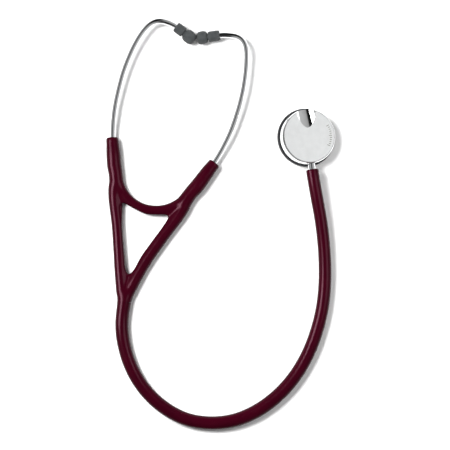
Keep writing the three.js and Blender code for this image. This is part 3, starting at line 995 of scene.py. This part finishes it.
# ------------------------------------------------------------------ ear tubes and tips
def make_ear_tube(side):
    start = joint_point(f"{side}_tip_turn")
    axis = joint_axis(f"{side}_tip_turn")
    into_tip = [start + axis * far for far in (*EAR_TUBE_LEAD, TUBE_END_IN_TIP)]
    path = smooth_path([*SLEEVE_LINES[side], *BENDS[side], *into_tip], spacing=0.8, rounds=14)
    length = arc_lengths(path)[-1]
    first = [(0, EAR_TUBE_RADIUS - EAR_TUBE_EDGE), (EAR_TUBE_EDGE, EAR_TUBE_RADIUS)]
    body = [(far, EAR_TUBE_RADIUS)
            for far in np.arange(EAR_TUBE_STEP, length - EAR_TUBE_CLEAR, EAR_TUBE_STEP)]
    last = [(length - EAR_TUBE_EDGE, EAR_TUBE_RADIUS), (length, EAR_TUBE_RADIUS - EAR_TUBE_EDGE)]
    tube = swept(f"{side}_ear_tube_fine", path, first + body + last, sides=32)
    finish_piece(tube, f"{side}_arm", "plated_metal", f"{side}_ear_tube")


# A soft tip's outside as (radius, distance from its open end, rounding): its collar, its
# groove and bulb, and the way back in to its bore. The right tip's groove is further from
# its open end, and its bulb that much shorter.
TIP_COLLAR = [(2.55, 0, 0.2), (4.3, 0, 0.9), (4.6, 2.5, 1.5)]
TIP_BULB = [
    (4.5, 8.2, 0.5), (3.1, 8.55, 0.2), (3.1, 9.45, 0.2), (4.6, 9.9, 0.6), (5.5, 11.8, 1.4),
    (5.75, 14.4, 1.6), (5.45, 17.2, 1.4), (4.55, 19.0, 0.9),
]
TIP_END = [(3.3, 19.8, 0.6), (1.9, 19.8, 0.3), (1.5, 18.9, 0.3), (1.4, 10.5, 0), (2.55, 9, 0)]
GROOVE_SHIFT = {"left": 0.0, "right": 1.4}


def make_ear_tip(side):
    first, last = TIP_BULB[0][1], TIP_END[0][1]
    shift = GROOVE_SHIFT[side]
    bulb = [(radius, far + shift * (last - far) / (last - first), rounding)
            for radius, far, rounding in TIP_BULB]
    profile = rounded(TIP_COLLAR + bulb + TIP_END, closed=True)
    place = along_axis(joint_point(f"{side}_tip_turn"), joint_axis(f"{side}_tip_turn"))
    tip = turned(f"{side}_ear_tip_fine", profile, sides=64, matrix=place)
    finish_piece(tip, f"{side}_tip", "soft_tip", f"{side}_ear_tip")
    LIT_BY_OVERHEAD.objects.link(tip)


# ------------------------------------------------------------------ chestpiece
def make_chest_body():
    outside = [
        (0, 5.2, 0), (4, 5.1, 0.8), (22.4, 2.6, 0.2), (22.6, 1.95, 0.1), (23.75, 1.95, 0.15),
        (23.75, 4.35, 0), (23.85, 4.4, 0.1), (23.95, 4.8, 0.2), (23.7, 6.8, 1.5),
        (23.35, 10.4, 1.5), (23.3, 12.2, 0.2), (22.7, 13.0, 0), (22.6, 12.3, 0),
        (22.15, 12.3, 0), (22.05, CHEST_HEIGHT, 0), (0, CHEST_HEIGHT, 0),
    ]
    return turned("chestpiece_metal", rounded(outside, segments=3), sides=128,
                  matrix=chest_frame())


def cut_scoop(body):
    """The finger groove: part of a cylinder that slopes down to the edge away from the stem."""
    tilt = Matrix.Rotation(-math.pi / 2 - math.atan(SCOOP_SLOPE), 4, "X")
    height = CHEST_HEIGHT + SCOOP_RADIUS * math.hypot(1, SCOOP_SLOPE)
    at = Matrix.Translation(Vector((0, SCOOP_APEX, height)) * MM)
    behind, ahead = -6, 30  # past the groove's pointed end and past the chestpiece's edge
    profile = [(0, behind), (SCOOP_RADIUS, behind), (SCOOP_RADIUS, ahead), (0, ahead)]
    cutter = turned("scoop_cutter", profile, sides=160, matrix=chest_frame() @ at @ tilt)
    modifier = body.modifiers.new("scoop", "BOOLEAN")
    modifier.operation = "DIFFERENCE"
    modifier.solver = "EXACT"
    modifier.object = cutter
    bpy.context.view_layer.update()
    shape = body.evaluated_get(bpy.context.evaluated_depsgraph_get())
    mesh = bpy.data.meshes.new_from_object(shape)
    body.modifiers.clear()
    body.data = mesh
    bpy.data.objects.remove(cutter)
    shade_smooth(body, FACE_CREASE)


def paint_chest(body):
    """Satin on the flat face, polish on the wall and in the groove."""
    body.data.materials.clear()
    body.data.materials.append(MATERIALS["chestpiece_metal"])
    body.data.materials.append(MATERIALS["polished"])
    for face in body.data.polygons:
        looks_up = face.normal.z > 0.999
        at_top = face.center.z > (CHEST_HEIGHT - 0.05) * MM
        face.material_index = 0 if looks_up and at_top else 1


TICKS = 11
TICK_START = -32  # degrees round from +X
TICK_STEP = 5.4
LONG_TICK, SHORT_TICK = 2.6, 1.7
TICK_HALF_WIDTH = 0.24
TICK_RING = 20.0  # the radius that the ticks reach out to
TICK_HEIGHTS = (-0.02, 0.012)  # below and above the face


def make_marks():
    """A short arc of plain etched ticks near the face's edge, in place of any lettering."""
    points, faces = [], []
    for index in range(TICKS):
        angle = math.radians(TICK_START + TICK_STEP * index)
        length = LONG_TICK if index % 5 == 0 else SHORT_TICK
        radial = np.array((math.cos(angle), math.sin(angle), 0))
        round_way = np.array((-math.sin(angle), math.cos(angle), 0))
        middle = radial * (TICK_RING - length / 2) + (0, 0, CHEST_HEIGHT)
        first = len(points)
        for height in TICK_HEIGHTS:
            for a, b in ((-1, -1), (1, -1), (1, 1), (-1, 1)):
                points.append(middle + radial * a * length / 2 + round_way * b * TICK_HALF_WIDTH
                              + np.array((0, 0, height)))
        quads = [(0, 3, 2, 1), (4, 5, 6, 7), (0, 1, 5, 4), (1, 2, 6, 5), (2, 3, 7, 6),
                 (3, 0, 4, 7)]
        faces += [tuple(first + corner for corner in quad) for quad in quads]
    marks = new_piece("face_ticks", points, faces, chest_frame())
    finish_piece(marks, "chestpiece", "chestpiece_metal", material=mark_material())


def about_stem():
    """The frame whose +Z runs out along the stem's axis from the chestpiece's middle."""
    turn = Matrix.Rotation(math.pi / 2, 4, "X")
    return chest_frame() @ Matrix.Translation((0, 0, STEM_HEIGHT * MM)) @ turn


def make_stem():
    outside = [
        (1.5, 16, 0), (2.4, 16, 0.1), (2.4, 22.6, 0), (3.0, 23.0, 0.2), (3.15, 23.4, 0.15),
        (3.15, 28.6, 0.2), (2.6, 29.1, 0.2), (2.55, 30.8, 0), (2.9, 31.3, 0.1), (2.5, 33.4, 0),
        (2.9, 34.0, 0.1), (2.5, 36.2, 0), (2.9, 36.8, 0.1), (2.4, 41, 0.2), (1.5, 41, 0),
    ]
    stem = turned("stem_fine", rounded(outside, closed=True), sides=48, matrix=about_stem())
    finish_piece(stem, "chestpiece", "plated_metal", "stem")


def make_rim():
    outside = [
        (22.55, 0.05, 0.1), (24.5, 0.0, 0.5), (25.15, 0.7, 0.6), (RIM_RADIUS, 2.0, 0.8),
        (25.15, 3.8, 0.4), (24.8, 4.3, 0.2), (23.95, 4.3, 0.1), (23.95, 0.6, 0),
        (22.55, 0.6, 0.1),
    ]
    rim = turned("diaphragm_rim_fine", rounded(outside, closed=True), sides=160,
                 matrix=chest_frame())
    finish_piece(rim, "chestpiece", "rim_ring", "diaphragm_rim")


def make_diaphragm():
    outside = [(0, 0.8, 0), (21.3, 0.8, 0.15), (21.4, 0.3, 0.1), (21.2, 0.2, 0.1), (0, 0.2, 0)]
    disc = turned("diaphragm_fine", rounded(outside), sides=128, matrix=chest_frame())
    finish_piece(disc, "diaphragm", "diaphragm", "diaphragm")


def make_surround():
    """The flexible ring, with a small roll between the diaphragm and the rim."""
    outside = [
        (21.55, 0.3, 0.1), (21.9, 0.22, 0.15), (22.3, 0.3, 0.1), (22.3, 0.95, 0), (23.75, 0.95, 0),
        (23.75, 1.55, 0), (21.55, 1.55, 0),
    ]
    ring = turned("surround_fine", rounded(outside, closed=True), sides=128,
                  matrix=chest_frame())
    finish_piece(ring, "chestpiece", "surround", "diaphragm_surround")


def add_chestpiece():
    body = make_chest_body()
    cut_scoop(body)
    paint_chest(body)
    LIT_BY_PANEL.objects.link(body)
    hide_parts("chestpiece_body")
    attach(body, "chestpiece")
    make_marks()
    make_stem()
    make_rim()
    make_diaphragm()
    make_surround()


# ------------------------------------------------------------------ assembly
def dress_cad_nodes():
    """Inner pieces keep their CAD shapes, with their own materials."""
    for node, slot in (
        ("bridge_spring", "spring_steel"),
        ("left_spring_clip", "spring_steel"),
        ("right_spring_clip", "spring_steel"),
        ("left_tip_core", "hard_core"),
        ("right_tip_core", "hard_core"),
        ("stem_seal", "surround"),
    ):
        for place in bpy.data.objects[node].material_slots:
            place.material = MATERIALS[slot]


make_camera()
make_main_tube()
make_table()
make_lights()
add_yoke()
for side in ("left", "right"):
    make_ear_tube(side)
    make_ear_tip(side)
add_chestpiece()
dress_cad_nodes()
